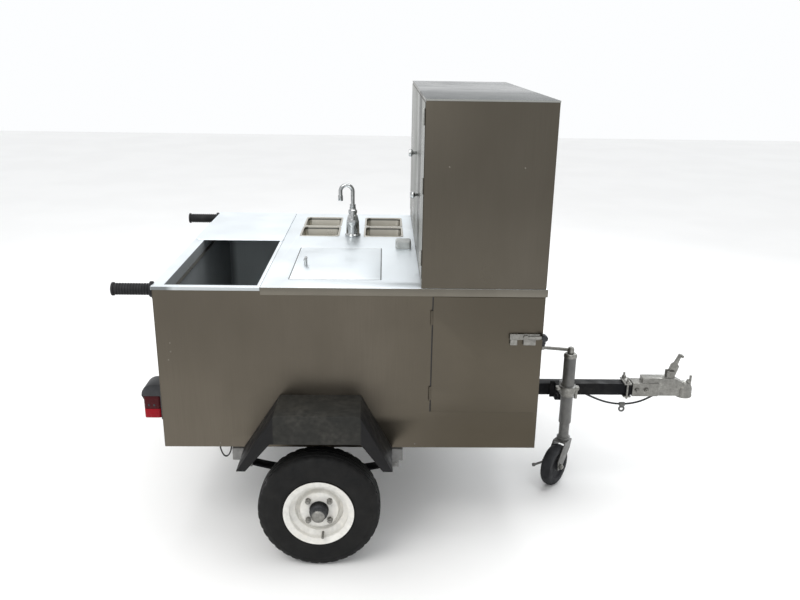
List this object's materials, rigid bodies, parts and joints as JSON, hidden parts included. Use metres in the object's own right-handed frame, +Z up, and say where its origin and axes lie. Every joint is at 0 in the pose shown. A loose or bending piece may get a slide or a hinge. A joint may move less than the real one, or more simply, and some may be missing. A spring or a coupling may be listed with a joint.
{
  "type": "push vending cart",
  "caption": "Two-wheeled towable food cart: stainless body with bin, steam pan, wash basins, tap, upright cabinet, ball coupler and caster jack.",
  "frame": {"origin": "on the ground under the middle of the overall box", "axes": "+X towards the tow coupler, +Y to the far side, +Z up"},
  "size_m": [2.17, 1.516, 1.528],
  "materials": {
    "side_steel": "brushed",
    "deck_steel": "fine satin",
    "bin_steel": "satin",
    "cabinet_steel": "brushed",
    "pan_steel": "polished inside",
    "chrome": "bright",
    "zinc": "zinc plated",
    "black_paint": "gloss, dusty",
    "frame_paint": "grey primer",
    "jack_paint": "satin",
    "rim_paint": "gloss white",
    "tyre": "matte",
    "black_plastic": "moulded",
    "grip_rubber": "ribbed",
    "grey_plastic": "moulded",
    "lens_red": "clear red",
    "tank_plastic": "milky",
    "pump_plastic": "moulded",
    "gas_paint": "enamel",
    "burner_iron": "cast",
    "wheel_rubber": "moulded",
    "cable_sleeve": "smooth"
  },
  "bodies": {
    "cart": {"rear_panel": "side_steel", "front_panel": "side_steel", "near_side_panel": "side_steel", "far_side_panel": "side_steel", "worktop": "deck_steel", "bin_liner": "bin_steel", "steam_pan": "bin_steel", "cabinet_shell": "cabinet_steel", "cabinet_shelf": "cabinet_steel", "far_cabinet_panel": "cabinet_steel", "wash_basins": "pan_steel", "faucet_body": "chrome", "coupler_body": "zinc", "jack_cap": "zinc", "fenders": "black_paint", "tongue_tube": "black_paint", "jack_bracket": "black_paint", "chassis_frame": "frame_paint", "floor_pan": "frame_paint", "jack_outer_tube": "jack_paint", "safety_hook": "jack_paint", "light_housings": "black_plastic", "drain_pipes": "black_plastic", "push_handles": "grip_rubber", "light_lenses": "lens_red", "water_tanks": "tank_plastic", "water_pump": "pump_plastic", "gas_cylinder": "gas_paint", "burner": "burner_iron", "safety_cable": "cable_sleeve"},
    "gas_door": {"compartment_door": "side_steel", "door_latch_base": "zinc"},
    "gas_door_latch": {"door_latch_handle": "black_plastic"},
    "cabinet_door": {"near_cabinet_door": "cabinet_steel", "cabinet_door_pull": "chrome"},
    "cabinet_latch": {"cabinet_turn_latch": "chrome"},
    "bin_cover": {"bin_lid": "deck_steel"},
    "steam_lid": {"work_lid": "deck_steel", "work_lid_knob": "chrome"},
    "spout": {"faucet_spout": "chrome"},
    "tap_lever": {"faucet_lever": "chrome"},
    "burner_control": {"burner_knob": "grey_plastic"},
    "axle": {"axle_beam": "black_paint", "leaf_springs": "black_paint"},
    "near_wheel": {"near_hub": "black_paint", "near_rim": "rim_paint", "near_tyre": "tyre", "near_wheel_hardware": "zinc"},
    "far_wheel": {"far_hub": "black_paint", "far_rim": "rim_paint", "far_tyre": "tyre", "far_wheel_hardware": "zinc"},
    "tow_latch": {"coupler_lever": "zinc"},
    "jack_leg": {"jack_inner_tube": "jack_paint"},
    "jack_winder": {"jack_crank": "zinc"},
    "winder_knob": {"crank_knob": "black_plastic"},
    "caster": {"caster_fork": "jack_paint"},
    "caster_roller": {"caster_wheel": "wheel_rubber"},
    "caster_brake": {"caster_brake_lever": "jack_paint"}
  },
  "joints": [
    {"name": "gas_door_hinge", "type": "hinge", "parent": "cart", "child": "gas_door", "pos_m": [-0.05, -0.568, 0.7], "axis": [0, 0, 1], "range_deg": [-110, 0]},
    {"name": "gas_door_latch_turn", "type": "hinge", "parent": "gas_door", "child": "gas_door_latch", "pos_m": [0.262, -0.58, 0.774], "axis": [0, 1, 0], "range_deg": [-90, 0]},
    {"name": "cabinet_door_hinge", "type": "hinge", "parent": "cart", "child": "cabinet_door", "pos_m": [-0.0913, -0.564, 1.24], "axis": [0, 0, 1], "range_deg": [0, 110]},
    {"name": "cabinet_latch_turn", "type": "hinge", "parent": "cabinet_door", "child": "cabinet_latch", "pos_m": [-0.09, -0.214, 1.173], "axis": [1, 0, 0], "range_deg": [0, 90]},
    {"name": "bin_cover_slide", "type": "slide", "parent": "cart", "child": "bin_cover", "axis": [0, -1, 0], "range_m": [0, 0.5]},
    {"name": "steam_lid_lift", "type": "slide", "parent": "cart", "child": "steam_lid", "axis": [0, 0, 1], "range_m": [0, 0.25]},
    {"name": "spout_swivel", "type": "hinge", "parent": "cart", "child": "spout", "pos_m": [-0.333, 0.16, 1.06], "axis": [0, 0, 1], "range_deg": [-120, 120]},
    {"name": "tap_lever_turn", "type": "hinge", "parent": "cart", "child": "tap_lever", "pos_m": [-0.333, 0.12, 0.996], "axis": [0, 1, 0], "range_deg": [0, 90]},
    {"name": "burner_control_turn", "type": "hinge", "parent": "cart", "child": "burner_control", "pos_m": [-0.1315, -0.03, 0.95], "axis": [0, 0, 1], "range_deg": [0, 270]},
    {"name": "axle_travel", "type": "slide", "parent": "cart", "child": "axle", "axis": [0, 0, 1], "range_m": [0, 0.03], "stiffness_N_per_m": 60000, "springref_m": -0.06, "deforming": ["leaf_springs"]},
    {"name": "near_wheel_spin", "type": "hinge", "parent": "axle", "child": "near_wheel", "pos_m": [-0.415, -0.68, 0.2045], "axis": [0, 1, 0], "continuous": true},
    {"name": "far_wheel_spin", "type": "hinge", "parent": "axle", "child": "far_wheel", "pos_m": [-0.415, 0.68, 0.2045], "axis": [0, 1, 0], "continuous": true},
    {"name": "tow_latch_lever", "type": "hinge", "parent": "cart", "child": "tow_latch", "pos_m": [0.985, 0, 0.398], "axis": [0, 1, 0], "range_deg": [-100, 0]},
    {"name": "jack_extend", "type": "slide", "parent": "cart", "child": "jack_leg", "axis": [0, 0, 1], "range_m": [-0.09, 0.06]},
    {"name": "jack_winder_turn", "type": "hinge", "parent": "cart", "child": "jack_winder", "pos_m": [0.525, -0.15, 0.56], "axis": [0, 0, 1], "range_deg": [-6480, 4320]},
    {"name": "winder_knob_spin", "type": "hinge", "parent": "jack_winder", "child": "winder_knob", "pos_m": [0.4174, -0.12713, 0.58], "axis": [0, 0, 1], "continuous": true},
    {"name": "caster_swivel", "type": "hinge", "parent": "jack_leg", "child": "caster", "pos_m": [0.525, -0.15, 0.14], "axis": [0, 0, 1], "continuous": true},
    {"name": "caster_roll", "type": "hinge", "parent": "caster", "child": "caster_roller", "pos_m": [0.48515, -0.1975, 0.084], "axis": [0.766, -0.6428, 0], "continuous": true},
    {"name": "caster_brake_press", "type": "hinge", "parent": "caster", "child": "caster_brake", "pos_m": [0.46013, -0.18172, 0.106], "axis": [0.766, -0.6428, 0], "range_deg": [0, 20]}
  ],
  "couplings": [
    {"joint": "jack_winder_turn", "follows": "jack_extend", "rad_per_m": 1256.6}
  ]
}
